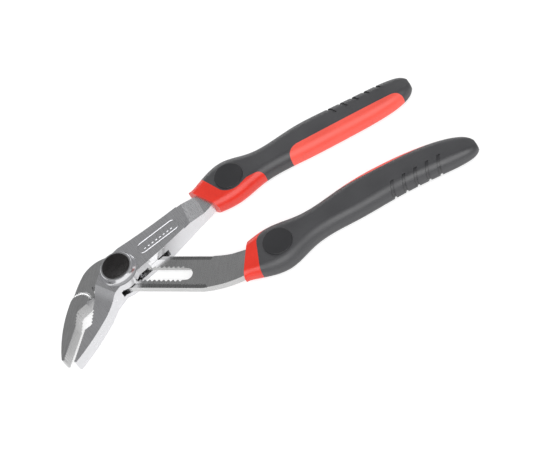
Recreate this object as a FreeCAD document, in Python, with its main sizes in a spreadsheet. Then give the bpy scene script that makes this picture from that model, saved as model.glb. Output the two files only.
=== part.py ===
"""Tongue and groove pliers with a box joint, a push-button pivot pin and two-part grips.

The tool lies flat. The pivot axis is Z, the jaws point towards -X and the handles towards +X.
The origin is on the pivot axis in the rest plane, which the rear bush and both grips touch.
"""
import FreeCAD, Part
import math
import os

import Sketcher

V = FreeCAD.Vector
UP = V(0, 0, 1)

doc = FreeCAD.newDocument("Pliers")

# Every size that can be set by itself, in millimetres and degrees.
SIZES = {
    # stack through the joint, from the rest plane up
    "bush_flange": 1.0,
    "rear_cheek": 3.2,
    "plate_play": 0.1,
    "plate_thick": 4.6,
    "front_cheek": 5.0,
    "boss_rise": 3.8,
    "button_proud": 0.6,
    "shank_thick": 7.4,
    "jaw_thick": 8.8,
    # boss and cheeks
    "boss_wall": 0.9,
    "boss_spread": 1.9,
    "cheek_margin": 0.5,
    "boss_wall_curve": 9.0,
    # pin, button and spring
    "button_diameter": 16.2,
    "button_play": 0.1,
    "button_top": 1.8,
    "button_wall": 1.5,
    "button_skirt": 1.9,
    "hub_wall": 1.1,
    "button_hub_height": 1.4,
    "button_lip": 0.8,
    "button_edge": 0.4,
    "button_dish": 45.0,
    "pin_play": 0.05,
    "stem_diameter": 7.0,
    "stem_grip": 0.9,
    "tail_step": 0.5,
    "tail_play": 0.1,
    "block_thick": 2.1,
    "block_web": 0.05,
    "press_travel": 2.4,
    "cheek_floor": 2.6,
    "bush_floor": 0.5,
    "bush_diameter": 13.4,
    "bush_flange_diameter": 16.0,
    "seat_thick": 0.6,
    "seat_gap": 0.3,
    "seat_play": 0.15,
    "spring_wire": 0.6,
    "spring_skirt_gap": 0.1,
    "spring_hub_gap": 0.2,
    "spring_turns": 2.5,
    # toothed slot, measured along and across the plate
    "slot_angle": 34.5,
    "tooth_pitch": 2.8,
    "tooth_steps": 12,
    "tooth_tip_gap": 0.15,
    "tooth_depth": 1.0,
    "tooth_gap": 2.2,
    "tooth_root_gap": 0.6,
    "tooth_play": 0.08,
    "slot_relief": 0.7,
    "slot_run_out": 1.5,
    "slot_plain_step": 0.2,
    "rack_thick": 2.2,
    "plate_inner": 11.4,
    "plate_outer": 8.6,
    "plate_straight": 50.0,
    "plate_neck": -6.0,
    "handle_curve": 60.0,
    "edge_step_width": 2.4,
    "edge_step_depth": 0.5,
    # window for the plate, between the two cheeks
    "window_heel_x": -4.5,
    "window_heel_y": -11.2,
    "window_handle_x": 29.5,
    "window_handle_y": -1.6,
    "window_back_x": 8.0,
    "window_back_y": 14.0,
    # jaws, in a frame whose first axis runs along the bite line towards the joint
    "bite_angle": 50.5,
    "bite_line": 9.6,
    "bite_opening": 6.2,
    "bite_tip": -57.2,
    "notch_at": -37.6,
    "notch_foot": -34.4,
    "outer_notch": 2.8,
    "recess_end": -23.6,
    "recess_rise": 0.6,
    "throat_at": -13.6,
    "outer_throat": 10.8,
    "throat_relief": 3.5,
    "inner_notch_at": -35.6,
    "inner_recess": 2.0,
    "inner_recess_at": -27.0,
    "inner_heel_at": -21.6,
    "inner_heel": 14.0,
    "inner_throat_at": -18.4,
    "inner_throat": 13.4,
    "tip_width": 1.5,
    "outer_heel_at": -28.0,
    "outer_heel": -1.1,
    "outer_neck_at": -16.2,
    "outer_neck": -2.3,
    "neck_back_x": -20.0,
    "neck_back_y": 12.4,
    "neck_round": 19.2,
    "jaw_root_x": -32.0,
    "jaw_root_y": -1.0,
    "jaw_step_curve": 6.2,
    "fine_pitch": 1.4,
    "fine_depth": 0.35,
    "coarse_pitch": 2.0,
    "coarse_depth": 0.75,
    "jaw_back_curve": 150.0,
    "inner_back_curve": 81.0,
    "inner_neck_curve": 68.0,
    "throat_radius": 18.6,
    "throat_turn": 193.0,
    "ramp_angle": 215.0,
    "ramp_start": 13.2,
    "ramp_end": 22.5,
    "ramp_curve": 16.5,
    "rear_ramp_start": 16.0,
    "rear_ramp_end": 18.0,
    # levers
    "cheek_low_turn": -38.4,
    "cheek_neck_turn": -105.0,
    "cheek_back_turn": 95.0,
    "cheek_jaw_turn": 160.0,
    "lever_back_x": 4.5,
    "lever_back_y": 13.1,
    "flat_end": 46.5,
    "flat_curve": 13.0,
    "flat_half": 10.0,
    "flat_middle_y": 11.3,
    "flat_rise": 0.8,
    "taper_start": 47.5,
    "taper_end": 57.0,
    "rear_taper_start": 31.0,
    "rear_taper_end": 50.0,
    "lever_bend": 400.0,
    "shank_at": 60.0,
    "outer_shank_low": 8.6,
    "outer_shank_high": 21.6,
    "inner_shank_low": -42.4,
    "inner_shank_high": -25.7,
    "tang_end": 82.0,
    "tang_root": 5.8,
    "tang_tip": 4.0,
    "tang_step": 66.0,
    "tang_inset": 7.0,
    "frame_rise": 0.35,
    "frame_line": 0.8,
    "frame_x": 17.5,
    "frame_y": 5.2,
    "frame_lean": 9.8,
    "frame_length": 21.0,
    "frame_half": 3.8,
    "bar_pitch": 2.6,
    "bar_count": 8,
    "bar_height": 3.6,
    "bar_width": 1.1,
    # grips, along X from the middle of the thumb pad
    "outer_pad_x": 79.0,
    "outer_stretch": 0.975,
    "inner_pad_x": 85.0,
    "inner_stretch": 1.02,
    "grip_skin": 1.8,
    "pad_radius": 8.5,
    "pad_proud": 0.5,
    "pad_thick": 1.8,
    "groove_pitch": 7.2,
    "groove_first": 70.5,
    "groove_depth": 0.8,
    "groove_width": 2.0,
    "groove_lean": 27.0,
    "groove_count": 5,
    "groove_start": 2.0,
    "collar_front": -25.0,
    "collar_front_side": 7.0,
    "collar_back": -16.4,
    "collar_lean": 30.0,
    "outer_collar_gap": 1.2,
    "inner_collar_gap": 4.0,
    "tongue_end": 18.5,
    "outer_tongue_edge": 7.2,
    "inner_tongue_edge": 12.2,
    "tongue_round": 4.2,
    "inlay_start": 35.0,
    "inlay_end": 108.0,
    "outer_inlay_edge": 3.6,
    "inner_inlay_edge": 8.6,
    "inlay_front_round": 8.0,
    "inlay_back_round": 6.0,
}

# Grip sections: name, place along the grip, width, thickness, outer grip's middle, inner grip's middle.
STATIONS = (
    ("front", -28.0, 20.4, 9.4, 18.0, -35.4),
    ("collar", -20.0, 20.0, 10.6, 17.9, -35.2),
    ("bulge", 0.0, 27.4, 13.0, 20.1, -36.3),
    ("neck", 16.0, 20.0, 12.7, 19.8, -35.3),
    ("palm", 44.0, 20.8, 12.6, 20.0, -33.7),
    ("heel", 72.0, 20.8, 12.6, 18.8, -33.6),
    ("end", 98.0, 18.8, 12.0, 17.8, -36.6),
    ("shoulder", 110.0, 15.6, 10.4, 18.0, -39.0),
    ("brow", 115.5, 11.4, 7.8, 18.3, -40.3),
    ("cap", 118.0, 6.4, 4.8, 18.5, -41.0),
)
for station, at, width, thick, outer_middle, inner_middle in STATIONS:
    SIZES[station + "_at"] = at
    SIZES[station + "_width"] = width
    SIZES[station + "_thick"] = thick
    SIZES[station + "_outer_y"] = outer_middle
    SIZES[station + "_inner_y"] = inner_middle


def make_sheet():
    """Write the sizes as plain numbers with their names as aliases."""
    sheet = doc.addObject("Spreadsheet::Sheet", "Dims")
    for row, (name, size) in enumerate(SIZES.items(), start=1):
        sheet.set("A%d" % row, name)
        sheet.set("B%d" % row, str(size))
        sheet.setAlias("B%d" % row, name)
    doc.recompute()
    return sheet


sheet = make_sheet()


def D(name):
    """The expression that reads one size."""
    return "Dims." + name


def number(expression):
    """The present value of an expression."""
    value = sheet.evalExpression(expression)
    return float(getattr(value, "Value", value))


# Levels through the stack.
GAP_LOW = "(Dims.bush_flange + Dims.rear_cheek)"
PLATE_LOW = "(%s + Dims.plate_play)" % GAP_LOW
PLATE_HIGH = "(%s + Dims.plate_thick)" % PLATE_LOW
GAP_HIGH = "(%s + Dims.plate_play)" % PLATE_HIGH
RACK_LOW = "(%s - Dims.rack_thick)" % PLATE_HIGH
FACE = "(%s + Dims.front_cheek)" % GAP_HIGH
RIM = "(%s + Dims.boss_rise)" % FACE
MIDDLE = "(%s + Dims.plate_thick / 2)" % PLATE_LOW
SHANK_LOW = "(%s - Dims.shank_thick / 2)" % MIDDLE
SHANK_HIGH = "(%s + Dims.shank_thick / 2)" % MIDDLE
JAW_LOW = "(%s - Dims.jaw_thick / 2)" % MIDDLE
JAW_HIGH = "(%s + Dims.jaw_thick / 2)" % MIDDLE
REACH = "(Dims.tooth_pitch * Dims.tooth_steps)"
BLOCK_HALF = "(Dims.tooth_pitch * 1.5)"
INNER_BITE = "(Dims.bite_line + Dims.bite_opening)"


def turned(angle, along, across):
    """A point given along and across an axis that is turned by angle, as X and Y expressions."""
    x = "((%s) * cos(%s) - (%s) * sin(%s))" % (along, angle, across, angle)
    y = "((%s) * sin(%s) + (%s) * cos(%s))" % (along, angle, across, angle)
    return x, y


def on_plate(along, across):
    """A point on the inner lever's plate: along the slot, and across it towards the outer lever."""
    return turned("(-Dims.slot_angle)", along, across)


def on_jaw(along, across):
    """A point in the jaws' frame: along the bite line, and across it towards the inner jaw."""
    return turned("Dims.bite_angle", along, across)


# ---------------------------------------------------------------- helpers

def body_of(name):
    body = doc.addObject("PartDesign::Body", name)
    body.Label = name
    body.Placement = FreeCAD.Placement()
    return body


def sketch_on(body, name, plane="XY_Plane", shift=("0", "0", "0"), axis=None, angle="0"):
    """A sketch on one of the body's origin planes, shifted and turned in the plane's own axes."""
    sketch = body.newObject("Sketcher::SketchObject", name)
    support = [part for part in body.Origin.OriginFeatures if part.Role == plane][0]
    sketch.AttachmentSupport = [(support, "")]
    sketch.MapMode = "FlatFace"
    if axis is not None:
        sketch.AttachmentOffset = FreeCAD.Placement(V(), FreeCAD.Rotation(axis, number(angle)))
        sketch.setExpression("AttachmentOffset.Rotation.Angle", angle)
    for letter, expression in zip("xyz", shift):
        sketch.setExpression("AttachmentOffset.Base." + letter, expression)
    return sketch


def bind(sketch, kind, value, *where):
    """A dimension that follows an expression."""
    index = sketch.addConstraint(Sketcher.Constraint(kind, *where, number(value)))
    sketch.setExpression("Constraints[%d]" % index, value)


def arc_through(start, end, radius, side):
    """A short arc between two points; side 1 bulges to the right of the way from start to end."""
    chord = end.sub(start)
    left = V(-chord.y, chord.x, 0).normalize()
    rise = math.sqrt(max(radius ** 2 - (chord.Length / 2) ** 2, 0))
    centre = start.add(chord.multiply(0.5)).add(left.multiply(rise * side))
    first, last = (start, end) if side > 0 else (end, start)
    low = math.atan2(first.y - centre.y, first.x - centre.x)
    high = math.atan2(last.y - centre.y, last.x - centre.x)
    if high < low:
        high += 2 * math.pi
    return Part.ArcOfCircle(Part.Circle(centre, UP, radius), low, high)


def draw(sketch, corners):
    """A closed outline. A corner is (x, y), or (x, y, radius, side) where an arc leads to the next."""
    count = len(corners)
    points = [V(number(corner[0]), number(corner[1]), 0) for corner in corners]
    base = sketch.GeometryCount
    ends = []
    for index, corner in enumerate(corners):
        start, end = points[index], points[(index + 1) % count]
        if len(corner) == 2:
            sketch.addGeometry(Part.LineSegment(start, end))
            ends.append((1, 2))
        else:
            sketch.addGeometry(arc_through(start, end, number(corner[2]), corner[3]))
            ends.append((1, 2) if corner[3] > 0 else (2, 1))
    for index in range(count):
        following = (index + 1) % count
        sketch.addConstraint(Sketcher.Constraint(
            "Coincident", base + index, ends[index][1], base + following, ends[following][0]))
    for index, corner in enumerate(corners):
        here = (-1, 1, base + index, ends[index][0])
        bind(sketch, "DistanceX", corner[0], *here)
        bind(sketch, "DistanceY", corner[1], *here)
        if len(corner) == 4:
            bind(sketch, "Radius", corner[2], base + index)


def ring(sketch, x, y, radius):
    """A full circle."""
    index = sketch.addGeometry(Part.Circle(V(number(x), number(y), 0), UP, number(radius)))
    bind(sketch, "DistanceX", x, -1, 1, index, 3)
    bind(sketch, "DistanceY", y, -1, 1, index, 3)
    bind(sketch, "Radius", radius, index)


def slot_outline(low, high, half):
    """Corners of a slot with round ends, from its two end centres and half its width."""
    return [
        on_plate(low, "-(%s)" % half),
        on_plate(high, "-(%s)" % half) + ("(%s) * 1.0001" % half, 1),
        on_plate(high, half),
        on_plate(low, half) + ("(%s) * 1.0001" % half, 1),
    ]


def checked(body, feature, grows):
    """Recompute, and make sure that the feature added or removed material."""
    doc.recompute()
    before = feature.BaseFeature.Shape.Volume if feature.BaseFeature else 0.0
    change = feature.Shape.Volume - before
    if (change > 0) != grows or abs(change) < 1e-3:
        raise RuntimeError("%s/%s changed the volume by %.3f" % (body.Name, feature.Name, change))
    return feature


def pad(body, name, sketch, length):
    feature = body.newObject("PartDesign::Pad", name)
    feature.Profile = sketch
    feature.setExpression("Length", length)
    return checked(body, feature, True)


def pocket(body, name, sketch, length=None):
    """Cut down from the sketch by length, or right through on both sides of it."""
    feature = body.newObject("PartDesign::Pocket", name)
    feature.Profile = sketch
    if length is None:
        feature.SideType = "Symmetric"
        feature.Type = "ThroughAll"
    else:
        feature.setExpression("Length", length)
    return checked(body, feature, False)


def revolve(body, name, sketch, cut=False):
    """Turn a profile drawn in the XZ plane about the pivot axis."""
    feature = body.newObject("PartDesign::Groove" if cut else "PartDesign::Revolution", name)
    feature.Profile = sketch
    feature.ReferenceAxis = (sketch, ["V_Axis"])
    feature.Angle = 360.0
    return checked(body, feature, not cut)


def repeat(body, name, feature, sketch, length, count, grows=False):
    """Repeat a cut or a pad along its sketch's own first axis."""
    pattern = body.newObject("PartDesign::LinearPattern", name)
    pattern.Originals = [feature]
    pattern.Direction = (sketch, ["H_Axis"])
    pattern.setExpression("Length", length)
    pattern.setExpression("Occurrences", count)
    body.Tip = pattern
    return checked(body, pattern, grows)


def bore(body, name, radius, top, depth):
    """A round hole on the pivot axis, from top down."""
    sketch = sketch_on(body, name + "_circle", shift=("0", "0", top))
    ring(sketch, "0", "0", radius)
    return pocket(body, name, sketch, depth)


def combine(kind, name, base, tool):
    """A boolean of two objects."""
    result = doc.addObject(kind, name)
    result.Label = name
    result.Base = base
    result.Tool = tool
    doc.recompute()
    return result


def rounded(body, name, radius, chosen):
    """Round the edges of the body's present shape that the chosen test picks."""
    below = body.Tip
    picked = ["Edge%d" % (index + 1) for index, edge in enumerate(below.Shape.Edges) if chosen(edge)]
    feature = body.newObject("PartDesign::Fillet", name)
    feature.Base = (below, picked)
    feature.setExpression("Radius", radius)
    return checked(body, feature, False)


# ---------------------------------------------------------------- radii that follow the stem and the button

STEM = "(Dims.stem_diameter / 2)"
TAIL = "(%s + Dims.tail_step)" % STEM
BLOCK_ROOT = "(%s + Dims.block_web)" % STEM
TOOTH_TIP = "(%s + Dims.tooth_tip_gap)" % BLOCK_ROOT
SLOT_PLAIN = "(%s + Dims.tooth_depth + Dims.slot_plain_step)" % TOOTH_TIP
HUB = "(%s + Dims.hub_wall)" % STEM
SPRING_HEAD = "(%s + Dims.spring_hub_gap + Dims.spring_wire / 2)" % HUB
BUTTON = "(Dims.button_diameter / 2)"
SPRING_FOOT = "(%s - Dims.button_wall - Dims.spring_skirt_gap - Dims.spring_wire / 2)" % BUTTON
SEAT = "(%s - Dims.seat_gap)" % BUTTON
BOSS_RIM = "(%s + Dims.boss_wall)" % BUTTON
BOSS_FOOT = "(%s + Dims.boss_spread)" % BOSS_RIM
CHEEK = "(%s + Dims.cheek_margin)" % BOSS_FOOT


# ---------------------------------------------------------------- levers

def on_circle(radius, turn):
    """A point on a circle about the pivot axis."""
    return "((%s) * cos(%s))" % (radius, turn), "((%s) * sin(%s))" % (radius, turn)


def tang_corners(pad_x, bulge_y, heel_y):
    """The four corners of a tang, from its lower root round its end."""
    root = "(%s - Dims.tang_inset)" % pad_x
    end = "(%s + Dims.tang_end)" % pad_x
    return [
        (root, "(%s - Dims.tang_root)" % bulge_y),
        (end, "(%s - Dims.tang_tip)" % heel_y),
        (end, "(%s + Dims.tang_tip)" % heel_y),
        (root, "(%s + Dims.tang_root)" % bulge_y),
    ]


def teeth(body, name, turn, start, length, pitch, depth, sign):
    """A row of V notches along an edge, from start, cut through the jaw's thickness."""
    sketch = sketch_on(body, name + "_notch", shift=(start[0], start[1], "(%s + 1)" % JAW_HIGH),
                       axis=UP, angle=turn)
    lip = "(%s * 0.1)" % sign
    draw(sketch, [
        ("(%s * 0.04)" % pitch, lip),
        ("(%s * 0.5)" % pitch, "(%s * -1 * %s)" % (depth, sign)),
        ("(%s * 0.96)" % pitch, lip),
    ][::sign])
    notch = pocket(body, name + "_notch_cut", sketch, "(Dims.jaw_thick + 2)")
    count = "floor((%s) / (%s))" % (length, pitch)
    repeat(body, name, notch, sketch, "(%s) * (%s - 1)" % (pitch, count), count)


def outer_lever():
    body = body_of("outer_lever")
    cheek = CHEEK
    bend = D("lever_bend")
    throat = on_jaw(D("throat_at"), D("outer_throat"))
    notch_foot = on_jaw(D("notch_foot"), "Dims.bite_line - Dims.outer_notch")
    low_shank = (D("shank_at"), D("outer_shank_low"))
    high_shank = (D("shank_at"), D("outer_shank_high"), bend, -1)

    # The whole blank, as thick as the two cheeks and the window between them.
    plan = sketch_on(body, "blank_plan", shift=("0", "0", D("bush_flange")))
    draw(plan, [
        on_jaw(D("bite_tip"), "Dims.bite_line - Dims.tip_width") + (D("jaw_back_curve"), 1),
        on_jaw(D("outer_heel_at"), D("outer_heel")),
        on_jaw(D("outer_neck_at"), D("outer_neck")),
        on_circle(cheek, D("cheek_neck_turn")) + (cheek, 1),
        on_circle(cheek, D("cheek_low_turn")) + (bend, 1),
        low_shank,
        *tang_corners(D("outer_pad_x"), D("bulge_outer_y"), D("heel_outer_y")),
        high_shank,
        (D("lever_back_x"), D("lever_back_y")),
        on_circle(cheek, D("cheek_back_turn")) + (cheek, 1),
        on_circle(cheek, D("cheek_jaw_turn")),
        throat,
        on_jaw(D("recess_end"), "Dims.bite_line - Dims.recess_rise"),
        notch_foot,
        on_jaw(D("notch_at"), D("bite_line")),
        on_jaw(D("bite_tip"), D("bite_line")),
    ])
    pad(body, "blank", plan, "(%s - Dims.bush_flange)" % FACE)

    # The jaw is thinner than the joint: a scooped ramp in front, a short one behind.
    over, under, far = "(%s + 1)" % FACE, "(Dims.bush_flange - 1)", "90"
    ramp = sketch_on(body, "ramp_side", "XZ_Plane", axis=V(0, 1, 0), angle=D("ramp_angle"))
    draw(ramp, [
        (D("ramp_start"), FACE, D("ramp_curve"), 1),
        (D("ramp_end"), JAW_HIGH),
        (far, JAW_HIGH),
        (far, over),
        (D("ramp_start"), over),
    ])
    pocket(body, "ramp", ramp)
    rear = sketch_on(body, "rear_ramp_side", "XZ_Plane", axis=V(0, 1, 0), angle=D("ramp_angle"))
    draw(rear, [
        (D("rear_ramp_start"), under),
        (far, under),
        (far, JAW_LOW),
        (D("rear_ramp_end"), JAW_LOW),
        (D("rear_ramp_start"), D("bush_flange")),
    ])
    pocket(body, "rear_ramp", rear)

    # The milled flat ends in a round step, and the shank tapers from there to the tang.
    step = sketch_on(body, "flat_step_plan", shift=("0", "0", over))
    corner_x = "(Dims.flat_end - Dims.flat_curve + sqrt(Dims.flat_curve ^ 2 - Dims.flat_half ^ 2))"
    draw(step, [
        (corner_x, "Dims.flat_middle_y + 30"),
        (corner_x, "Dims.flat_middle_y + Dims.flat_half", D("flat_curve"), -1),
        (corner_x, "Dims.flat_middle_y - Dims.flat_half"),
        (corner_x, "Dims.flat_middle_y - 30"),
        ("Dims.flat_end + 20", "Dims.flat_middle_y - 30"),
        ("Dims.flat_end + 20", "Dims.flat_middle_y + 30"),
    ])
    pocket(body, "flat_step", step, "(Dims.flat_rise + 1)")
    beyond = "(Dims.outer_pad_x + Dims.tang_end + 5)"
    taper = sketch_on(body, "taper_side", "XZ_Plane")
    draw(taper, [
        (D("taper_start"), "(%s - Dims.flat_rise)" % FACE),
        (D("taper_end"), SHANK_HIGH),
        (D("tang_step"), SHANK_HIGH),
        ("(Dims.tang_step + Dims.shank_thick - Dims.plate_thick)", PLATE_HIGH),
        (beyond, PLATE_HIGH),
        (beyond, over),
        (D("taper_start"), over),
    ])
    pocket(body, "taper", taper)
    rear_taper = sketch_on(body, "rear_taper_side", "XZ_Plane")
    draw(rear_taper, [
        (D("rear_taper_start"), D("bush_flange")),
        (D("rear_taper_start"), under),
        (beyond, under),
        (beyond, PLATE_LOW),
        ("(Dims.tang_step + Dims.shank_thick - Dims.plate_thick)", PLATE_LOW),
        (D("tang_step"), SHANK_LOW),
        (D("rear_taper_end"), SHANK_LOW),
    ])
    pocket(body, "rear_taper", rear_taper)

    # The boss that holds the button, with a hollow-curved wall.
    boss = sketch_on(body, "boss_side", "XZ_Plane")
    draw(boss, [
        ("1", "(%s - 1)" % FACE),
        (BOSS_FOOT, "(%s - 1)" % FACE),
        (BOSS_FOOT, FACE, D("boss_wall_curve"), -1),
        ("(%s + 0.3)" % BOSS_RIM, "(%s - 0.4)" % RIM),
        (BOSS_RIM, RIM),
        ("1", RIM),
    ])
    revolve(body, "boss", boss)

    # The window that the inner lever's plate runs through.
    window = sketch_on(body, "window_plan", shift=("0", "0", GAP_HIGH))
    far_x = "(%s - 7)" % throat[0]
    slant = "(Dims.outer_throat - Dims.bite_line + Dims.recess_rise) / (Dims.throat_at - Dims.recess_end)"
    relief = on_jaw("(Dims.throat_at - Dims.throat_relief)",
                    "(Dims.outer_throat - Dims.throat_relief * %s)" % slant)
    draw(window, [
        (far_x, "(%s + 4)" % throat[1]),
        relief,
        (D("window_heel_x"), D("window_heel_y")),
        ("(Dims.window_heel_x + 1)", "(Dims.window_heel_y - 12)"),
        ("(Dims.window_handle_x + 8)", "(Dims.window_heel_y - 12)"),
        (D("window_handle_x"), D("window_handle_y")),
        (D("window_back_x"), D("window_back_y")),
        (D("window_back_x"), "(Dims.window_back_y + 12)"),
        (far_x, "(Dims.window_back_y + 12)"),
    ])
    pocket(body, "window", window, "(%s - %s)" % (GAP_HIGH, GAP_LOW))

    # Bores for the button, the pin's stem and the rear bush.
    well_floor = "(%s + Dims.cheek_floor)" % GAP_HIGH
    bore(body, "button_well", "(Dims.button_diameter / 2 + Dims.button_play)", RIM,
         "(%s - %s)" % (RIM, well_floor))
    bore(body, "stem_bore", "(Dims.stem_diameter / 2 + Dims.pin_play)", well_floor,
         "(Dims.cheek_floor + 0.5)")
    bore(body, "bush_bore", "(Dims.bush_diameter / 2)", "(%s + 0.5)" % GAP_LOW,
         "(Dims.rear_cheek + 1)")

    # Teeth: fine along the bite line, coarse in the pipe recess.
    teeth(body, "bite_teeth", D("bite_angle"), on_jaw("Dims.bite_tip + 1", D("bite_line")),
          "(Dims.notch_at - Dims.bite_tip - 1)", D("fine_pitch"), D("fine_depth"), 1)
    rise = "(Dims.outer_notch - Dims.recess_rise)"
    run = "(Dims.recess_end - Dims.notch_foot)"
    teeth(body, "recess_teeth", "(Dims.bite_angle + atan(%s / %s) / 1 deg)" % (rise, run), notch_foot,
          "sqrt(%s ^ 2 + %s ^ 2)" % (rise, run), D("coarse_pitch"), D("coarse_depth"), 1)

    # A raised frame with plain slanting bars on the milled flat.
    frame_shift = (D("frame_x"), D("frame_y"), "(%s - 0.1)" % FACE)
    frame = sketch_on(body, "frame_plan", shift=frame_shift, axis=UP, angle=D("frame_lean"))
    for half in (D("frame_half"), "(Dims.frame_half - Dims.frame_line)"):
        draw(frame, [
            ("0", "-%s" % half),
            (D("frame_length"), "-%s" % half, "%s * 1.0001" % half, 1),
            (D("frame_length"), half),
            ("0", half, "%s * 1.0001" % half, 1),
        ])
    pad(body, "frame", frame, "(Dims.frame_rise + 0.1)")
    bar = sketch_on(body, "bar_plan", shift=frame_shift, axis=UP, angle=D("frame_lean"))
    low, high = "(-Dims.bar_height / 2)", "(Dims.bar_height / 2)"
    draw(bar, [
        ("0.4", low),
        ("(0.4 + Dims.bar_width)", low),
        ("(1.6 + Dims.bar_width)", high),
        ("1.6", high),
    ])
    first = pad(body, "bar", bar, "(Dims.frame_rise + 0.1)")
    repeat(body, "bars", first, bar, "Dims.bar_pitch * (Dims.bar_count - 1)", D("bar_count"), True)
    return body


def inner_lever():
    body = body_of("inner_lever")
    bite = INNER_BITE
    inside, outside = D("plate_inner"), "(-Dims.plate_outer)"
    throat = on_jaw(D("inner_throat_at"), D("inner_throat"))
    tip_back = on_jaw(D("bite_tip"), "%s + Dims.tip_width" % bite)
    jaw_root = (D("jaw_root_x"), D("jaw_root_y"))
    low_shank = (D("shank_at"), D("inner_shank_low"))
    high_shank = (D("shank_at"), D("inner_shank_high"))
    grip_side = [
        on_jaw(D("bite_tip"), bite),
        on_jaw(D("inner_notch_at"), bite),
        on_jaw(D("inner_recess_at"), "%s + Dims.inner_recess" % bite),
        on_jaw(D("inner_heel_at"), D("inner_heel")),
    ]
    tang = tang_corners(D("inner_pad_x"), D("bulge_inner_y"), D("heel_inner_y"))
    plate_bend_low = on_plate(D("plate_straight"), outside) + (D("handle_curve"), 1)

    plan = sketch_on(body, "plate_plan", shift=("0", "0", PLATE_LOW))
    draw(plan, grip_side + [
        throat,
        on_circle(D("throat_radius"), D("throat_turn")) + (D("throat_radius"), -1),
        on_plate("(-sqrt(Dims.throat_radius ^ 2 - Dims.plate_outer ^ 2))", outside),
        plate_bend_low,
        low_shank,
        *tang,
        high_shank + (D("handle_curve"), -1),
        on_plate(D("plate_straight"), inside),
        on_plate(D("plate_neck"), inside) + (D("neck_round"), 1),
        (D("neck_back_x"), D("neck_back_y"), D("inner_neck_curve"), 1),
        jaw_root + (D("inner_back_curve"), 1),
        tip_back,
    ])
    pad(body, "plate", plan, D("plate_thick"))

    # The jaw stands proud of the plate on both faces, up to a round step.
    jaw = sketch_on(body, "jaw_plan", shift=("0", "0", JAW_LOW))
    draw(jaw, grip_side + [
        throat + (D("jaw_step_curve"), 1),
        jaw_root + (D("inner_back_curve"), 1),
        tip_back,
    ])
    pad(body, "jaw", jaw, D("jaw_thick"))

    # Fine teeth along the bite line, coarse ones down the front of the pipe recess.
    teeth(body, "bite_teeth", D("bite_angle"), on_jaw("Dims.bite_tip + 1", bite),
          "(Dims.inner_notch_at - Dims.bite_tip - 1)", D("fine_pitch"), D("fine_depth"), -1)
    run = "(Dims.inner_recess_at - Dims.inner_notch_at)"
    teeth(body, "recess_teeth", "(Dims.bite_angle + atan(Dims.inner_recess / %s) / 1 deg)" % run,
          on_jaw(D("inner_notch_at"), bite), "sqrt(%s ^ 2 + Dims.inner_recess ^ 2)" % run,
          D("coarse_pitch"), D("coarse_depth"), -1)

    # The slot: toothed in the front of the plate, wider and plain behind the racks.
    near = "(Dims.slot_relief - %s)" % BLOCK_HALF
    far = "(%s + %s + Dims.slot_run_out)" % (REACH, BLOCK_HALF)
    over = "(%s + 1)" % PLATE_HIGH
    slot = sketch_on(body, "slot_plan", shift=("0", "0", over))
    draw(slot, slot_outline(near, far, TOOTH_TIP))
    pocket(body, "slot", slot, "(Dims.plate_thick + 2)")
    plain = sketch_on(body, "plain_slot_plan", shift=("0", "0", RACK_LOW))
    draw(plain, slot_outline(near, far, SLOT_PLAIN))
    pocket(body, "plain_slot", plain, "(Dims.plate_thick - Dims.rack_thick + 1)")
    for name, side in (("inside", 1), ("outside", -1)):
        start = on_plate("(-Dims.tooth_pitch)", "%d * %s" % (side, TOOTH_TIP))
        notch = sketch_on(body, name + "_rack_notch", shift=(start[0], start[1], over),
                          axis=UP, angle="(-Dims.slot_angle)")
        draw(notch, tooth_corners(side, "0", "-0.3", "Dims.tooth_depth")[::side])
        cut = pocket(body, name + "_rack_cut", notch, "(Dims.rack_thick + 1)")
        repeat(body, name + "_rack", cut, notch, "(%s + 2 * Dims.tooth_pitch)" % REACH,
               "(Dims.tooth_steps + 3)")

    # A shallow step along each edge of the plate's front face.
    for name, edge, inner in (("inside", inside, "(Dims.plate_inner - Dims.edge_step_width)"),
                              ("outside", outside, "(Dims.edge_step_width - Dims.plate_outer)")):
        strip = sketch_on(body, name + "_step_plan", shift=("0", "0", over))
        side = 1 if name == "inside" else -1
        beyond = "(%s + %d * 2)" % (edge, side)
        draw(strip, [
            on_plate(D("plate_neck"), inner),
            on_plate("(Dims.plate_straight + 2)", inner),
            on_plate("(Dims.plate_straight + 2 + Dims.edge_step_width)", beyond),
            on_plate(D("plate_neck"), beyond),
        ][::side])
        pocket(body, name + "_step", strip, "(1 + Dims.edge_step_depth)")
    return body


def tooth_corners(side, play, low, high):
    """A rack tooth or its gap, pointing to side, narrower by play all round."""
    slope = "((Dims.tooth_gap - Dims.tooth_root_gap) / 2 / Dims.tooth_depth)"
    wide = "(Dims.tooth_gap / 2 - %s * (%s) - %s)" % (slope, low, play)
    narrow = "(Dims.tooth_gap / 2 - %s * (%s) - %s)" % (slope, high, play)
    return [
        ("-%s" % wide, "%d * (%s)" % (side, low)),
        (wide, "%d * (%s)" % (side, low)),
        (narrow, "%d * (%s)" % (side, high)),
        ("-%s" % narrow, "%d * (%s)" % (side, high)),
    ]


# ---------------------------------------------------------------- pin, button and spring

BLOCK_HIGH = "(%s - Dims.pin_play)" % GAP_HIGH
BLOCK_LOW = "(%s - Dims.block_thick)" % BLOCK_HIGH
BUTTON_HIGH = "(%s + Dims.button_proud)" % RIM
BUTTON_UNDER = "(%s - Dims.button_top)" % BUTTON_HIGH
SEAT_LOW = "(%s + Dims.cheek_floor)" % GAP_HIGH
SEAT_HIGH = "(%s + Dims.seat_thick)" % SEAT_LOW


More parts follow.
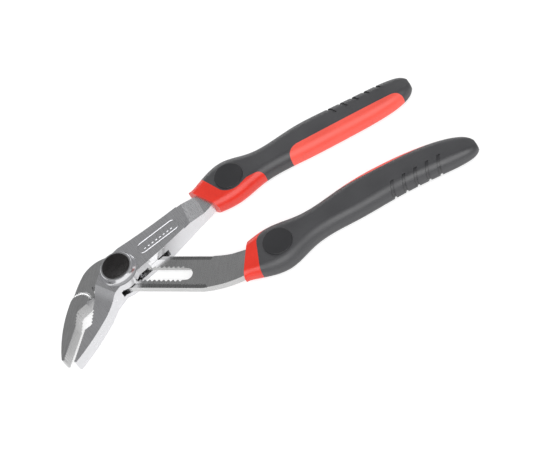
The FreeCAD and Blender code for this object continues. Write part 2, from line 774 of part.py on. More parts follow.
def pivot_pin():
    """A stem, a toothed block that locks in the racks, and a tail in the rear bush."""
    body = body_of("pivot_pin")
    stem_top = "(%s + Dims.stem_grip)" % BUTTON_UNDER
    tail_end = "(Dims.bush_floor + Dims.press_travel + Dims.tail_play)"
    shoulder = "(%s - Dims.pin_play)" % RACK_LOW
    side = sketch_on(body, "pin_side", "XZ_Plane")
    draw(side, [
        ("0", tail_end),
        ("(%s - 0.5)" % TAIL, tail_end),
        (TAIL, "(%s + 0.5)" % tail_end),
        (TAIL, shoulder),
        (STEM, shoulder),
        (STEM, "(%s - 0.3)" % stem_top),
        ("(%s - 0.3)" % STEM, stem_top),
        ("0", stem_top),
    ])
    revolve(body, "turned", side)
    turn = "(-Dims.slot_angle)"
    block = sketch_on(body, "block_plan", shift=("0", "0", BLOCK_LOW), axis=UP, angle=turn)
    draw(block, [
        ("-%s" % BLOCK_HALF, "-%s" % BLOCK_ROOT),
        (BLOCK_HALF, "-%s" % BLOCK_ROOT),
        (BLOCK_HALF, BLOCK_ROOT),
        ("-%s" % BLOCK_HALF, BLOCK_ROOT),
    ])
    pad(body, "block", block, D("block_thick"))
    for name, side in (("inside", 1), ("outside", -1)):
        start = on_plate("(-Dims.tooth_pitch)", "%d * %s" % (side, TOOTH_TIP))
        tooth = sketch_on(body, name + "_tooth_plan", shift=(start[0], start[1], BLOCK_LOW),
                          axis=UP, angle=turn)
        root = "(%s - %s - 0.1)" % (BLOCK_ROOT, TOOTH_TIP)
        corners = tooth_corners(side, D("tooth_play"), root, "(Dims.tooth_depth - Dims.tooth_play)")
        draw(tooth, corners[::side])
        first = pad(body, name + "_tooth", tooth, D("block_thick"))
        repeat(body, name + "_teeth", first, tooth, "(2 * Dims.tooth_pitch)", "3", True)
    return body


def push_button():
    """A cap with a dished top, a skirt that guides it, and a hub pressed on the stem."""
    body = body_of("push_button")
    outer, stem = "(Dims.button_diameter / 2)", "(Dims.stem_diameter / 2)"
    skirt = "(%s - Dims.button_skirt)" % BUTTON_UNDER
    hub = "(%s - Dims.button_hub_height)" % BUTTON_UNDER
    lip = "(%s - Dims.button_lip)" % outer
    dish = "(%s - (Dims.button_dish - sqrt(Dims.button_dish ^ 2 - %s ^ 2)))" % (BUTTON_HIGH, lip)
    side = sketch_on(body, "button_side", "XZ_Plane")
    draw(side, [
        ("0", "(%s + Dims.stem_grip)" % BUTTON_UNDER),
        (stem, "(%s + Dims.stem_grip)" % BUTTON_UNDER),
        (stem, hub),
        (HUB, hub),
        (HUB, BUTTON_UNDER),
        ("(%s - Dims.button_wall)" % outer, BUTTON_UNDER),
        ("(%s - Dims.button_wall)" % outer, skirt),
        (outer, skirt),
        (outer, "(%s - Dims.button_edge)" % BUTTON_HIGH, D("button_edge"), 1),
        ("(%s - Dims.button_edge)" % outer, BUTTON_HIGH),
        (lip, BUTTON_HIGH, D("button_dish"), -1),
        ("0", dish),
    ])
    revolve(body, "cap", side)
    return body


def spring_seat():
    body = body_of("spring_seat")
    side = sketch_on(body, "seat_side", "XZ_Plane")
    inner = "(Dims.stem_diameter / 2 + Dims.seat_play)"
    draw(side, [
        (inner, SEAT_LOW),
        (SEAT, SEAT_LOW),
        (SEAT, SEAT_HIGH),
        (inner, SEAT_HIGH),
    ])
    revolve(body, "seat", side)
    return body


def button_spring():
    """A conical compression spring, from the seat to the underside of the button."""
    wire = "(Dims.spring_wire / 2)"
    foot = "(%s + %s)" % (SEAT_HIGH, wire)
    height = "(%s - %s - Dims.spring_wire)" % (BUTTON_UNDER, SEAT_HIGH)
    coil = doc.addObject("Part::Helix", "spring_coil")
    coil.setExpression("Height", height)
    coil.setExpression("Pitch", "%s / Dims.spring_turns" % height)
    coil.setExpression("Radius", SPRING_FOOT)
    coil.setExpression("Angle", "-atan((%s - %s) / %s)" % (SPRING_FOOT, SPRING_HEAD, height))
    coil.setExpression("Placement.Base.z", foot)
    coil.SegmentLength = 0.5
    section = doc.addObject("Part::Circle", "spring_section")
    section.Placement = FreeCAD.Placement(V(), FreeCAD.Rotation(V(1, 0, 0), 90))
    section.setExpression("Radius", wire)
    section.setExpression("Placement.Base.x", SPRING_FOOT)
    section.setExpression("Placement.Base.z", foot)
    spring = doc.addObject("Part::Sweep", "button_spring")
    spring.Label = "button_spring"
    spring.Sections = [section]
    spring.Spine = (coil, [])
    spring.Solid = True
    spring.Frenet = True
    doc.recompute()
    return spring


def rear_bush():
    """The flanged bush that closes the rear cheek and guides the pin's tail."""
    body = body_of("rear_bush")
    side = sketch_on(body, "bush_side", "XZ_Plane")
    inner = "(%s + Dims.pin_play)" % TAIL
    flange, plug = "(Dims.bush_flange_diameter / 2)", "(Dims.bush_diameter / 2)"
    draw(side, [
        ("0", "0"),
        ("(%s - 0.3)" % flange, "0"),
        (flange, "0.3"),
        (flange, D("bush_flange")),
        (plug, D("bush_flange")),
        (plug, GAP_LOW),
        (inner, GAP_LOW),
        (inner, D("bush_floor")),
        ("0", D("bush_floor")),
    ])
    revolve(body, "bush", side)
    return body


# ---------------------------------------------------------------- grips

def section_corners(station, skin):
    """A rounded section of a grip, thinner by skin on every side."""
    half = "(Dims.%s_width / 2 - %s)" % (station, skin)
    tall = "(Dims.%s_thick / 2 - %s)" % (station, skin)
    curve = "(%s * 0.82)" % tall
    flat, rise = "(%s - %s)" % (half, curve), "(%s - %s)" % (tall, curve)
    return [
        ("-%s" % flat, "-%s" % tall),
        (flat, "-%s" % tall, curve, 1),
        (half, "-%s" % rise),
        (half, rise, curve, 1),
        (flat, tall),
        ("-%s" % flat, tall, curve, 1),
        ("-%s" % half, rise),
        ("-%s" % half, "-%s" % rise, curve, 1),
    ]


def grip_loft(which, name, skin):
    """The grip's outer shape, or the shape that lies skin below it."""
    body = body_of("%s_grip_%s" % (which, name))
    stations = [row[0] for row in STATIONS]
    pad_x = D(which + "_pad_x")
    sections = []
    for station in stations:
        place = "(%s + Dims.%s_at * Dims.%s_stretch)" % (pad_x, station, which)
        if station == stations[-1]:
            place = "(%s - %s)" % (place, skin)
        sketch = sketch_on(body, "section_" + station, "YZ_Plane", shift=(
            "Dims.%s_%s_y" % (station, which), MIDDLE, place))
        draw(sketch, section_corners(station, skin))
        sections.append(sketch)
    loft = body.newObject("PartDesign::AdditiveLoft", "loft")
    loft.Profile = sections[0]
    loft.Sections = sections[1:]
    checked(body, loft, True)
    return body


def zone(which, name, loops):
    """An upright prism over the whole grip, used to share the grip out among its pieces."""
    body = body_of("%s_%s_zone" % (which, name))
    sketch = sketch_on(body, "plan", shift=(D(which + "_pad_x"), "Dims.bulge_%s_y" % which, "-2"))
    for corners in loops:
        draw(sketch, corners)
    pad(body, "prism", sketch, "(%s + 4)" % FACE)
    return body


def grip(which, lever):
    """Sleeve, cover, inlay and thumb pad of one grip. Across, plus is away from the other grip."""
    out = 1 if which == "outer" else -1

    def at(along, across, *arc):
        corner = (along, "%d * (%s)" % (out, across))
        return corner + (arc[0], arc[1] * out) if arc else corner

    whole = grip_loft(which, "whole", "0")
    core = grip_loft(which, "core", D("grip_skin"))
    groove_floor = grip_loft(which, "groove_floor", D("groove_depth"))

    lean = "tan(%s)" % D("collar_lean")
    front = "(Dims.collar_front + (Dims.collar_front_side - (%s)) * %s)"
    ahead = zone(which, "ahead", [[
        at("-60", "30"), at(front % ("30", lean), "30"), at(front % ("-30", lean), "-30"), at("-60", "-30"),
    ]])
    bow = "(Dims.pad_radius + Dims.%s_collar_gap)" % which
    edge = "Dims.%s_tongue_edge" % which
    low = "-30"
    red = zone(which, "red", [[
        at("-60", "12"),
        at(D("collar_back"), "12"),
        at("(%s * cos(215))" % bow, "(%s * sin(215))" % bow, bow, 1),
        at("(%s * cos(285))" % bow, "(%s * sin(285))" % bow),
        at("(%s * cos(285) + 6)" % bow, "(-%s)" % edge),
        at("(Dims.tongue_end - Dims.tongue_round)", "(-%s)" % edge, D("tongue_round"), -1),
        at(D("tongue_end"), "(-%s - Dims.tongue_round)" % edge),
        at(D("tongue_end"), low),
        at("-60", low),
    ]])
    edges = []
    for station in ("palm", "end"):
        row = (out, station, which, which, which)
        edges.append("(%d * (Dims.%s_%s_y - Dims.bulge_%s_y) - Dims.%s_inlay_edge)" % row)
    start_edge, end_edge = edges
    inlay_zone = zone(which, "inlay", [[
        at(D("inlay_start"), low),
        at(D("inlay_start"), "(%s - Dims.inlay_front_round)" % start_edge, D("inlay_front_round"), -1),
        at("(Dims.inlay_start + Dims.inlay_front_round)", start_edge),
        at("(Dims.inlay_end - Dims.inlay_back_round)", end_edge, D("inlay_back_round"), -1),
        at(D("inlay_end"), "(%s - Dims.inlay_back_round)" % end_edge),
        at(D("inlay_end"), low),
    ]])
    pitch, width = D("groove_pitch"), D("groove_width")
    slant = "tan(%s)" % D("groove_lean")
    loops = []
    for index in range(SIZES["groove_count"]):
        place = "(Dims.groove_first + %d * %s - Dims.groove_start * %s)" % (index, pitch, slant)
        tail = "(%s - (16 - Dims.groove_start) * %s)" % (place, slant)
        loops.append([
            at(place, D("groove_start")), at("(%s + %s)" % (place, width), D("groove_start")),
            at("(%s + %s)" % (tail, width), "16"), at(tail, "16"),
        ])
    groove_zone = zone(which, "grooves", loops)

    # The thumb pad, a disc let into the cover.
    disc = body_of(which + "_thumb_pad")
    pad_low = "(%s + Dims.bulge_thick / 2 + Dims.pad_proud - Dims.pad_thick)" % MIDDLE
    plan = sketch_on(disc, "pad_plan", shift=(D(which + "_pad_x"), "Dims.bulge_%s_y" % which, pad_low))
    ring(plan, "0", "0", D("pad_radius"))
    pad(disc, "disc", plan, D("pad_thick"))
    top = disc.Shape.BoundBox.ZMax
    rounded(disc, "disc_edge", "(Dims.pad_proud * 0.8)", lambda edge: edge.BoundBox.ZMin > top - 1e-4)

    cut, common, fuse = "Part::Cut", "Part::Common", "Part::Fuse"
    skin = combine(cut, which + "_skin", combine(cut, which + "_shell", whole, ahead), core)
    inner_core = combine(cut, which + "_inner_core", core, ahead)
    collar = combine(common, which + "_collar", skin, red)
    sleeve = combine(fuse, which + "_sleeve_solid", inner_core, collar)
    pieces = [combine(cut, which + "_grip_sleeve", sleeve, lever), disc]
    pieces.append(combine(common, which + "_grip_inlay", skin, inlay_zone))
    cover = combine(cut, which + "_cover_1", skin, red)
    cover = combine(cut, which + "_cover_2", cover, inlay_zone)
    cover = combine(cut, which + "_cover_3", cover, disc)
    grooves = combine(common, which + "_grooves_1", whole, groove_zone)
    grooves = combine(cut, which + "_grooves_2", grooves, groove_floor)
    pieces.append(combine(cut, which + "_grip_cover", cover, grooves))
    return pieces


# ---------------------------------------------------------------- build, check and write

def main():
    outer, inner = outer_lever(), inner_lever()
    pieces = [outer, inner, pivot_pin(), push_button(), spring_seat(), button_spring(), rear_bush()]
    pieces += grip("outer", outer)
    pieces += grip("inner", inner)
    doc.recompute()
    for item in doc.Objects:
        if "Invalid" in item.State or "Error" in item.State:
            raise RuntimeError("%s is in state %s" % (item.Label, item.State))
    for piece in pieces:
        if piece.Shape.isNull() or not piece.Shape.isValid():
            raise RuntimeError("%s has no valid shape" % piece.Label)
        print("%-20s %d solid(s) %9.1f mm3" % (piece.Label, len(piece.Shape.Solids), piece.Shape.Volume))
    os.makedirs("parts", exist_ok=True)
    for piece in pieces:
        piece.Shape.exportStep(os.path.join("parts", piece.Label + ".step"))


main()
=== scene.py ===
"""Finishes, small formed pieces, light and camera for a pair of tongue and groove pliers."""
import math

import bmesh
import bpy
from bpy.props import FloatProperty, FloatVectorProperty, PointerProperty
from mathutils import Matrix, Vector


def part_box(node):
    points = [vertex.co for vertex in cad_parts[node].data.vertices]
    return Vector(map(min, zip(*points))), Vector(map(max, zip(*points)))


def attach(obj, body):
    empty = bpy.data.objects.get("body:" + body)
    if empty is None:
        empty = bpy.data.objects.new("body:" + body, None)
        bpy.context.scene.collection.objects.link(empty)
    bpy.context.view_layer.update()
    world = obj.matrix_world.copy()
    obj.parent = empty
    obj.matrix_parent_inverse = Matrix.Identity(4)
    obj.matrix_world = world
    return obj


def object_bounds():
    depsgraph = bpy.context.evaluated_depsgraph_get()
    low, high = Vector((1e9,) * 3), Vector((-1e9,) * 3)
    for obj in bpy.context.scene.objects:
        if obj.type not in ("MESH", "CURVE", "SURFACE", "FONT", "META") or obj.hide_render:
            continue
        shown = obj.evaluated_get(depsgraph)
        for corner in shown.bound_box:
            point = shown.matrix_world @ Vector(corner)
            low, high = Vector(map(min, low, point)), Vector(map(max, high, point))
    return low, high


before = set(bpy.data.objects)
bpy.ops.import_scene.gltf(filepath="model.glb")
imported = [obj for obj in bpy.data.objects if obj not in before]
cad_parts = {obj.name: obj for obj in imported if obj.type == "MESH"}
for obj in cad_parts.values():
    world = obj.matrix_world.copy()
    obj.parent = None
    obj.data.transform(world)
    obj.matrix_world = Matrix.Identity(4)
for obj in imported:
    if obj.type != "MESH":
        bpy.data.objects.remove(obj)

bl_info = {
    "name": "Tongue and groove pliers",
    "version": (1, 0, 0),
    "blender": (4, 5, 0),
    "location": "3D View > Sidebar > Pliers",
    "description": "Finishes the steel, the grips and the push button, and sets up a studio table",
    "category": "Object",
}

CAD_BOX = [list(corner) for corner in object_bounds()]
MM = 0.001

BOSS_RADIUS = 10.9 * MM
# The painted shade line on the inner lever: its height, the half-width of its darkest band and the
# half-width where it fades out.
PAINTED_SHADE_LEVEL = 8.4 * MM
PAINTED_SHADE_CORE = 0.2 * MM
PAINTED_SHADE_RIM = 0.3 * MM
BOSS_FADE = 0.4 * MM

COVE_CENTRE = Vector((-28.23 * MM, -5.93 * MM, 0))
COVE_RADIUS = 6.2 * MM
COVE_PLATE_RISE = 2.3 * MM
COVE_ANGLES = (math.radians(4), math.radians(124))
COVE_STEPS = 40
COVE_RINGS = 8
COVE_FACE_SINK = 0.05 * MM
COVE_UNDERLAP = 0.1 * MM
COVE_LEAST_REACH = 0.02 * MM

EDGE_SEGMENTS = 2
EDGE_ANGLE = math.radians(40)

TABLE_GAP = 0.02 * MM
CARD_EDGE = (0.74, 0.97)
ROOM_COLOUR = (0.985, 0.99, 1.0, 1.0)
LIGHT_AIM = (0.07, 0.0, 0.0)
KEY_SIZE, KEY_PLACE = (2.0, 1.5), (0.0, -0.95, 1.2)
FILL_SIZE, FILL_PLACE = (1.6, 0.25), (0.1, 1.0, 0.35)
SENSOR_WIDTH = 36.0
CAMERA_RANGE = (0.05, 20.0)


# ---------------------------------------------------------------- settings

def colour(name, description, default):
    """A colour setting."""
    return FloatVectorProperty(name=name, description=description, subtype="COLOR",
                               size=3, min=0.0, max=1.0, default=default)


def length(name, description, default):
    """A length setting, in metres."""
    return FloatProperty(name=name, description=description, unit="LENGTH",
                         subtype="DISTANCE", default=default)


def share(name, description, default):
    """A setting between none and all."""
    return FloatProperty(name=name, description=description, subtype="FACTOR",
                         min=0.0, max=1.0, default=default)


def turn(name, description, degrees):
    """An angle setting, given in degrees."""
    return FloatProperty(name=name, description=description, unit="ROTATION",
                         subtype="ANGLE", default=math.radians(degrees))


class SteelSettings(bpy.types.PropertyGroup):
    """Settings of the levers and the joint's parts"""
    outer_colour: colour("Outer lever", "Chrome tone of the outer lever", (0.66, 0.66, 0.675))
    inner_colour: colour("Inner lever", "Chrome tone of the inner lever", (0.52, 0.52, 0.52))
    turned_colour: colour("Turned parts", "Tone of the pin, bush and washer", (0.56, 0.56, 0.57))
    face_roughness: share("Ground faces", "Roughness of the flat satin faces", 0.27)
    wall_roughness: share("Forged walls", "Roughness of the side walls", 0.24)
    boss_roughness: share("Boss", "Roughness of the polished boss", 0.16)
    outer_grain: turn("Outer grain", "Direction of the outer lever's grinding lines", 100.0)
    inner_grain: turn("Inner grain", "Direction of the inner lever's grinding lines", 55.0)
    broken_edge: length("Broken edges", "Width of the softly broken edges", 0.22 * MM)
    cove_width: length("Cove width", "Width of the cove where the jaw steps down", 3.0 * MM)


class GripSettings(bpy.types.PropertyGroup):
    """Settings of the grips and the button"""
    sleeve_colour: colour("Collar", "Red of the hard sleeve", (0.66, 0.028, 0.014))
    inlay_colour: colour("Inlay", "Red of the soft inlay", (0.78, 0.085, 0.06))
    cover_colour: colour("Cover", "Charcoal of the soft cover", (0.028, 0.028, 0.031))
    pad_colour: colour("Thumb pad", "Black of the thumb pad", (0.012, 0.012, 0.014))
    button_colour: colour("Button", "Black of the push button", (0.006, 0.005, 0.005))
    cover_roughness: share("Cover roughness", "Roughness of the soft cover", 0.5)
    sleeve_roughness: share("Sleeve roughness", "Roughness of the hard sleeve", 0.34)


class StageSettings(bpy.types.PropertyGroup):
    """Settings of the table, the lights and the camera"""
    aim_x: length("Aim X", "Where the camera looks, along the tool", 85.8 * MM)
    aim_y: length("Aim Y", "Where the camera looks, across the tool", -14.8 * MM)
    distance: length("Distance", "From the camera to where it looks", 894.1 * MM)
    elevation: turn("Elevation", "Camera's height above the table as an angle", 53.8)
    roll: turn("Roll", "Camera's turn about its own axis", 29.5)
    lens: FloatProperty(name="Lens", description="Focal length in millimetres", default=106.67)
    table: length("Table", "Side of the table top", 6.0)
    table_colour: colour("Table colour", "Colour of the paper on the table", (0.5, 0.5, 0.5))
    table_glow: share("Table glow", "Light that the table top gives off, as a light table does", 0.6)
    key_power: FloatProperty(name="Key light", description="Power of the front softbox",
                             unit="POWER", default=27.0)
    fill_power: FloatProperty(name="Back light", description="Power of the strip light behind",
                              unit="POWER", default=5.0)
    sky: share("Sky", "Brightness of the room around the table", 0.5)
    card_shade: share("Card", "Brightness of the grey card that the flat faces mirror", 0.3)
    card_height: turn("Card height", "Height of the grey card above the table as an angle", 56.0)
    card_turn: turn("Card turn", "How far round to the left the grey card stands", 12.0)


# ---------------------------------------------------------------- finishes

def add(tree, kind, inputs=None, **settings):
    """Add a shader node; an input is a plain value or another node's output."""
    made = tree.nodes.new("ShaderNode" + kind)
    for name, value in settings.items():
        setattr(made, name, value)
    for name, value in (inputs or {}).items():
        socket = made.inputs[name]
        if isinstance(value, bpy.types.NodeSocket):
            tree.links.new(value, socket)
        else:
            socket.default_value = value
    return made


def blank_finish(name):
    """A new finish with a plain shader, and the place on the piece that its patterns use."""
    finish = bpy.data.materials.new(name)
    finish.use_nodes = True
    tree = finish.node_tree
    tree.nodes.clear()
    shader = add(tree, "BsdfPrincipled")
    add(tree, "OutputMaterial", {"Surface": shader.outputs[0]})
    place = add(tree, "TexCoord").outputs["Object"]
    return finish, tree, shader, place


def ranged(tree, value, low, high, start=0.0, end=1.0, smooth=False):
    """Carry a value from one range into another."""
    kind = "SMOOTHSTEP" if smooth else "LINEAR"
    return add(tree, "MapRange", {"Value": value, "From Min": low, "From Max": high,
                                  "To Min": start, "To Max": end},
               interpolation_type=kind).outputs["Result"]


def sums(tree, operation, first, second):
    """One step of arithmetic on two values."""
    return add(tree, "Math", {0: first, 1: second}, operation=operation).outputs[0]


def blend(tree, first, part, second, rest):
    """Add two values, each times its own weight."""
    return sums(tree, "ADD", sums(tree, "MULTIPLY", first, part),
                sums(tree, "MULTIPLY", second, rest))


def noise(tree, place, scale, detail=3.0, rough=0.5):
    """A cloudy value between none and one."""
    return add(tree, "TexNoise", {"Vector": place, "Scale": scale, "Detail": detail,
                                  "Roughness": rough}).outputs["Fac"]


def tinted(tree, shade, tone, low, high, deep=None):
    """The tone, times low to high as the shade rises, and times deep where the shade is zero."""
    ramp = add(tree, "ValToRGB", {"Fac": shade})
    stops = ramp.color_ramp.elements
    stops.new(0.25)
    darkest = low if deep is None else deep
    for stop, place, share_of in zip(stops, (0.0, 0.25, 0.75), (darkest, low, high)):
        stop.position = place
        stop.color = [min(part * share_of, 1.0) for part in tone] + [1.0]
    return ramp.outputs["Color"]


def grain_lines(tree, place, angle, long=9.0 * MM, fine=0.16 * MM):
    """Fine grinding lines that run along one direction."""
    stretched = add(tree, "Mapping", {"Vector": place, "Rotation": (0, 0, angle),
                                      "Scale": (long, fine, fine)}, vector_type="TEXTURE")
    return noise(tree, stretched.outputs[0], 1.0, 4.0, 0.6)


def satin_chrome(name, tone, grain, settings, boss_radius=0.0, groove=None):
    """Satin chrome: ground flat faces, smoother forged walls and, on one lever, a polished boss;
    with groove set, a painted shade line along the foot of a step.
    """
    finish, tree, shader, place = blank_finish(name)
    lines = grain_lines(tree, place, grain)
    clouds = noise(tree, place, 140.0)
    normal = add(tree, "NewGeometry").outputs["Normal"]
    upright = add(tree, "SeparateXYZ", {0: normal}).outputs[2]
    facing = ranged(tree, sums(tree, "ABSOLUTE", upright, 0.0), 0.75, 0.97, smooth=True)
    shade = blend(tree, lines, 0.65, clouds, 0.35)
    # Painted shade: upward faces near the groove level, the foot of the inner lever's edge step, are
    # darkened as if shaded by the step.
    if groove:
        level = add(tree, "SeparateXYZ", {0: place}).outputs[2]
        above = ranged(tree, level, groove - PAINTED_SHADE_RIM, groove - PAINTED_SHADE_CORE)
        below = ranged(tree, level, groove + PAINTED_SHADE_CORE, groove + PAINTED_SHADE_RIM, 1.0, 0.0)
        painted_shade = sums(tree, "MULTIPLY", sums(tree, "MULTIPLY", above, below), facing)
        shade = sums(tree, "SUBTRACT", shade, painted_shade)
    face, wall = settings.face_roughness, settings.wall_roughness
    satin = ranged(tree, lines, 0.2, 0.8, face - 0.05, face + 0.08)
    plain = ranged(tree, clouds, 0.3, 0.7, wall - 0.04, wall + 0.05)
    rough = add(tree, "Mix", {0: facing, 2: plain, 3: satin}).outputs[0]
    if boss_radius:
        flat = add(tree, "VectorMath", {0: place, 1: (1, 1, 0)}, operation="MULTIPLY").outputs[0]
        out = add(tree, "VectorMath", {0: flat}, operation="LENGTH").outputs["Value"]
        apart = ranged(tree, out, boss_radius, boss_radius + BOSS_FADE, smooth=True)
        rough = add(tree, "Mix", {0: apart, 2: settings.boss_roughness, 3: rough}).outputs[0]
        facing = sums(tree, "MULTIPLY", facing, apart)
    pits = noise(tree, place, 2400.0, 2.0)
    height = blend(tree, lines, facing, pits, 0.25)
    bump = add(tree, "Bump", {"Height": height, "Strength": 0.35, "Distance": 0.02 * MM})
    shader.inputs["Metallic"].default_value = 1.0
    # Where the shade value falls to zero, as in the painted shade line, the tone is taken down to
    # 0.55.
    tree.links.new(tinted(tree, shade, tone, 0.9, 1.07, 0.55), shader.inputs["Base Color"])
    tree.links.new(rough, shader.inputs["Roughness"])
    tree.links.new(bump.outputs[0], shader.inputs["Normal"])
    return finish


def turned_steel(name, tone, roughness):
    """Steel with fine turning rings about the pivot axis."""
    finish, tree, shader, place = blank_finish(name)
    rings = add(tree, "TexWave", {"Vector": place, "Scale": 900.0, "Distortion": 0.6,
                                  "Detail": 2.0},
                wave_type="RINGS", rings_direction="Z").outputs["Fac"]
    clouds = noise(tree, place, 300.0)
    bump = add(tree, "Bump", {"Height": rings, "Strength": 0.25, "Distance": 0.01 * MM})
    shader.inputs["Metallic"].default_value = 1.0
    tree.links.new(tinted(tree, clouds, tone, 0.88, 1.08), shader.inputs["Base Color"])
    tree.links.new(ranged(tree, clouds, 0.3, 0.7, roughness - 0.05, roughness + 0.06),
                   shader.inputs["Roughness"])
    tree.links.new(bump.outputs[0], shader.inputs["Normal"])
    return finish


def blackened(name, tone):
    """Satin black on turned steel, a little lighter in random cloudy patches."""
    finish, tree, shader, place = blank_finish(name)
    rings = add(tree, "TexWave", {"Vector": place, "Scale": 700.0, "Distortion": 0.4},
                wave_type="RINGS", rings_direction="Z").outputs["Fac"]
    clouds = noise(tree, place, 420.0, 4.0, 0.6)
    height = sums(tree, "ADD", sums(tree, "MULTIPLY", rings, 0.4), clouds)
    bump = add(tree, "Bump", {"Height": height, "Strength": 0.22, "Distance": 0.02 * MM})
    tree.links.new(tinted(tree, clouds, tone, 0.7, 1.5), shader.inputs["Base Color"])
    tree.links.new(ranged(tree, clouds, 0.3, 0.7, 0.24, 0.34), shader.inputs["Roughness"])
    tree.links.new(bump.outputs[0], shader.inputs["Normal"])
    return finish


def moulded(name, tone, roughness, grain, depth, spread=0.05, gloss=0.5):
    """Moulded plastic or rubber: faint colour drift, patchy gloss and a fine grain."""
    finish, tree, shader, place = blank_finish(name)
    clouds = noise(tree, place, 60.0, 2.0)
    pebbles = noise(tree, place, grain, 3.0, 0.55)
    shade = blend(tree, clouds, 0.6, pebbles, 0.4)
    bump = add(tree, "Bump", {"Height": pebbles, "Strength": 0.5, "Distance": depth})
    shader.inputs["Specular IOR Level"].default_value = gloss
    tree.links.new(tinted(tree, shade, tone, 0.86, 1.14), shader.inputs["Base Color"])
    tree.links.new(ranged(tree, clouds, 0.3, 0.7, roughness - spread, roughness + spread),
                   shader.inputs["Roughness"])
    tree.links.new(bump.outputs[0], shader.inputs["Normal"])
    return finish


def finish_node(node, finish, edge=0.0):
    """Give a CAD node its finish and, if edge is set, softly broken edges."""
    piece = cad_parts[node]
    for slot in piece.material_slots:
        slot.material = finish
    if edge:
        broken = piece.modifiers.new("broken_edges", "BEVEL")
        broken.width = edge
        broken.segments = EDGE_SEGMENTS
        broken.limit_method = "ANGLE"
        broken.angle_limit = EDGE_ANGLE
        broken.harden_normals = False


# ---------------------------------------------------------------- formed pieces

def jaw_cove(finish, width):
    """The hollow-rounded foot where the inner jaw's face steps down to its plate."""
    low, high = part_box("inner_lever")
    middle = (low.z + high.z) / 2
    face, plate = high.z - COVE_FACE_SINK, middle + COVE_PLATE_RISE
    start, end = COVE_ANGLES
    mesh = bmesh.new()
    rows = []
    for step in range(COVE_STEPS + 1):
        part = step / COVE_STEPS
        angle = start + (end - start) * part
        reach = width * math.sin(math.pi * part) ** 0.5 + COVE_LEAST_REACH
        out = Vector((math.cos(angle), math.sin(angle), 0))
        inside = out * (COVE_RADIUS - COVE_UNDERLAP)
        row = [mesh.verts.new(COVE_CENTRE + inside + Vector((0, 0, plate)))]
        for ring in range(COVE_RINGS + 1):
            bend = ring / COVE_RINGS * math.pi / 2
            away = COVE_RADIUS + reach * (1 - math.cos(bend))
            height = face - (face - plate) * math.sin(bend)
            row.append(mesh.verts.new(COVE_CENTRE + out * away + Vector((0, 0, height))))
        rows.append(row)
    for row, following in zip(rows, rows[1:]):
        for index in range(len(row)):
            after = (index + 1) % len(row)
            mesh.faces.new((row[index], row[after], following[after], following[index]))
    mesh.faces.new(rows[0][::-1])
    mesh.faces.new(rows[-1])
    bmesh.ops.recalc_face_normals(mesh, faces=mesh.faces)
    for flat in mesh.faces:
        flat.smooth = True
    data = bpy.data.meshes.new("jaw_cove")
    mesh.to_mesh(data)
    mesh.free()
    data.materials.append(finish)
    piece = bpy.data.objects.new("jaw_cove", data)
    bpy.context.collection.objects.link(piece)
    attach(piece, "inner")


# ---------------------------------------------------------------- operators

class PLIERS_OT_levers(bpy.types.Operator):
    """Finish both levers in satin chrome, with a painted shade line along the inner lever's step,
    and add the cove under the inner jaw's step
    """
    bl_idname = "pliers.levers"
    bl_label = "Levers"

    def execute(self, context):
        steel = context.scene.pliers_steel
        outer = satin_chrome("outer_chrome", steel.outer_colour, steel.outer_grain, steel,
                             boss_radius=BOSS_RADIUS)
        # The inner lever's chrome gets the painted shade line at the foot of its edge step.
        inner = satin_chrome("inner_chrome", steel.inner_colour, steel.inner_grain, steel,
                             groove=PAINTED_SHADE_LEVEL)
        finish_node("outer_lever", outer, steel.broken_edge / 2)
        finish_node("inner_lever", inner, steel.broken_edge)
        jaw_cove(inner, steel.cove_width)
        return {"FINISHED"}


class PLIERS_OT_joint_parts(bpy.types.Operator):
    """Finish the push button, pin, spring, washer and bush"""
    bl_idname = "pliers.joint_parts"
    bl_label = "Button and pin"

    def execute(self, context):
        steel, grips = context.scene.pliers_steel, context.scene.pliers_grips
        finish_node("push_button", blackened("button_black", grips.button_colour))
        turned_tone = steel.turned_colour
        finish_node("pivot_pin", turned_steel("pin_steel", turned_tone, 0.3))
        finish_node("button_spring", turned_steel("spring_wire", turned_tone, 0.25))
        finish_node("spring_seat", turned_steel("washer_steel", turned_tone, 0.35))
        finish_node("rear_bush", turned_steel("bush_steel", turned_tone, 0.32))
        return {"FINISHED"}


class PLIERS_OT_grips(bpy.types.Operator):
    """Finish the sleeves, covers, inlays and thumb pads of both grips"""
    bl_idname = "pliers.grips"
    bl_label = "Grips"

    def execute(self, context):
        grips = context.scene.pliers_grips
        sleeve = moulded("sleeve_red", grips.sleeve_colour, grips.sleeve_roughness,
                         900.0, 0.012 * MM)
        inlay = moulded("inlay_red", grips.inlay_colour, 0.46, 1400.0, 0.02 * MM)
        cover = moulded("cover_rubber", grips.cover_colour, grips.cover_roughness,
                        1900.0, 0.035 * MM, spread=0.07, gloss=0.8)
        disc = moulded("thumb_pad_rubber", grips.pad_colour, 0.5, 1200.0, 0.04 * MM,
                       spread=0.06)
        for which in ("outer", "inner"):
            finish_node(which + "_grip_sleeve", sleeve)
            finish_node(which + "_grip_inlay", inlay)
            finish_node(which + "_grip_cover", cover)
            finish_node(which + "_thumb_pad", disc)
        return {"FINISHED"}


def softbox(name, power, size, place, aim):
    """A rectangular area light that faces a point."""
    lamp = bpy.data.lights.new(name, "AREA")
    lamp.shape = "RECTANGLE"
    lamp.size, lamp.size_y = size
    lamp.energy = power
    holder = bpy.data.objects.new(name, lamp)
    holder.location = place
    holder.rotation_euler = (Vector(aim) - Vector(place)).to_track_quat("-Z", "Y").to_euler()
    bpy.context.collection.objects.link(holder)


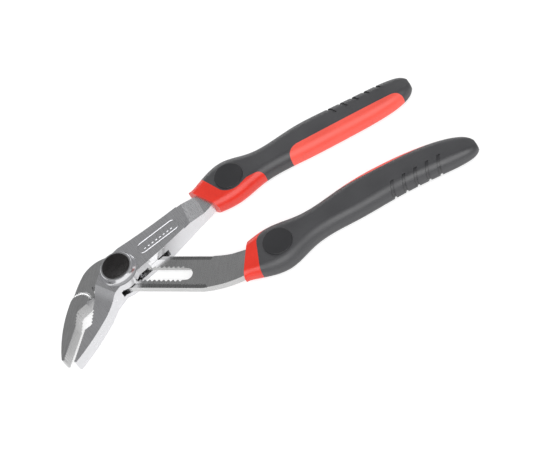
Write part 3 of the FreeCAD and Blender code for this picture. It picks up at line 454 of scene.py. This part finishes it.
class PLIERS_OT_stage(bpy.types.Operator):
    """Set up the pale table, the softboxes and the camera"""
    bl_idname = "pliers.stage"
    bl_label = "Table, light and camera"

    def execute(self, context):
        stage = context.scene.pliers_stage
        context.scene.view_settings.view_transform = "Standard"
        self.table(stage)
        self.light(context, stage)
        self.camera(context, stage)
        return {"FINISHED"}

    def table(self, stage):
        """A sheet of pale paper that glows a little, just under the tool."""
        finish, tree, shader, place = blank_finish("table_paper")
        fibres = noise(tree, place, 900.0, 4.0)
        tree.links.new(tinted(tree, fibres, stage.table_colour, 0.985, 1.0),
                       shader.inputs["Base Color"])
        shader.inputs["Roughness"].default_value = 0.8
        shader.inputs["Emission Color"].default_value = (1.0, 1.0, 1.0, 1.0)
        shader.inputs["Emission Strength"].default_value = stage.table_glow
        half = stage.table / 2
        mesh = bmesh.new()
        mesh.faces.new([mesh.verts.new((x * half, y * half, 0))
                        for x, y in ((-1, -1), (1, -1), (1, 1), (-1, 1))])
        data = bpy.data.meshes.new("table_top")
        mesh.to_mesh(data)
        mesh.free()
        data.materials.append(finish)
        top = bpy.data.objects.new("table_top", data)
        top.location.z = CAD_BOX[0][2] - TABLE_GAP
        bpy.context.collection.objects.link(top)

    def light(self, context, stage):
        """A pale room with a grey card behind the tool, a softbox in front and a strip behind."""
        world = bpy.data.worlds.new("studio")
        context.scene.world = world
        world.use_nodes = True
        tree = world.node_tree
        tree.nodes.clear()
        around = add(tree, "TexCoord").outputs["Generated"]
        card = Vector((-math.sin(stage.card_turn), math.cos(stage.card_turn), 0))
        card *= math.cos(stage.card_height)
        card.z = math.sin(stage.card_height)
        near = add(tree, "VectorMath", {0: around, 1: card}, operation="DOT_PRODUCT")
        room = ranged(tree, near.outputs["Value"], *CARD_EDGE, stage.sky, stage.card_shade,
                      smooth=True)
        glow = add(tree, "Background", {"Color": ROOM_COLOUR, "Strength": room})
        add(tree, "OutputWorld", {"Surface": glow.outputs[0]})
        softbox("front_softbox", stage.key_power, KEY_SIZE, KEY_PLACE, LIGHT_AIM)
        softbox("back_strip", stage.fill_power, FILL_SIZE, FILL_PLACE, LIGHT_AIM)

    def camera(self, context, stage):
        """A camera that looks at a point on the table, turned about its own axis."""
        lens = bpy.data.cameras.new("camera")
        lens.lens = stage.lens
        lens.sensor_width = SENSOR_WIDTH
        lens.clip_start, lens.clip_end = CAMERA_RANGE
        viewer = bpy.data.objects.new("camera", lens)
        back = Vector((0, -math.cos(stage.elevation), math.sin(stage.elevation)))
        right = Vector((1, 0, 0))
        up = Vector((0, math.sin(stage.elevation), math.cos(stage.elevation)))
        along = right * math.cos(stage.roll) - up * math.sin(stage.roll)
        over = right * math.sin(stage.roll) + up * math.cos(stage.roll)
        place = Vector((stage.aim_x, stage.aim_y, 0)) + back * stage.distance
        turned = Matrix((along, over, back)).transposed().to_4x4()
        viewer.matrix_world = Matrix.Translation(place) @ turned
        bpy.context.collection.objects.link(viewer)
        context.scene.camera = viewer


class VIEW3D_PT_pliers(bpy.types.Panel):
    """Buttons and settings for the pliers"""
    bl_label = "Pliers"
    bl_space_type = "VIEW_3D"
    bl_region_type = "UI"
    bl_category = "Pliers"

    def draw(self, context):
        for operator in OPERATORS:
            self.layout.operator(operator.bl_idname)
        for group in ("pliers_steel", "pliers_grips", "pliers_stage"):
            box = self.layout.box()
            settings = getattr(context.scene, group)
            for name in settings.bl_rna.properties.keys():
                if name not in ("rna_type", "name"):
                    box.prop(settings, name)


SETTINGS = {
    "pliers_steel": SteelSettings,
    "pliers_grips": GripSettings,
    "pliers_stage": StageSettings,
}
OPERATORS = (PLIERS_OT_levers, PLIERS_OT_joint_parts, PLIERS_OT_grips, PLIERS_OT_stage)
CLASSES = tuple(SETTINGS.values()) + OPERATORS + (VIEW3D_PT_pliers,)


def register():
    """Make the settings, buttons and panel known to Blender."""
    for kind in CLASSES:
        bpy.utils.register_class(kind)
    for name, kind in SETTINGS.items():
        setattr(bpy.types.Scene, name, PointerProperty(type=kind))


def unregister():
    """Take them away again."""
    for name in SETTINGS:
        delattr(bpy.types.Scene, name)
    for kind in reversed(CLASSES):
        bpy.utils.unregister_class(kind)


def main():
    """Finish every piece and set the stage."""
    register()
    bpy.ops.pliers.levers()
    bpy.ops.pliers.joint_parts()
    bpy.ops.pliers.grips()
    bpy.ops.pliers.stage()


if __name__ == "__main__":
    main()
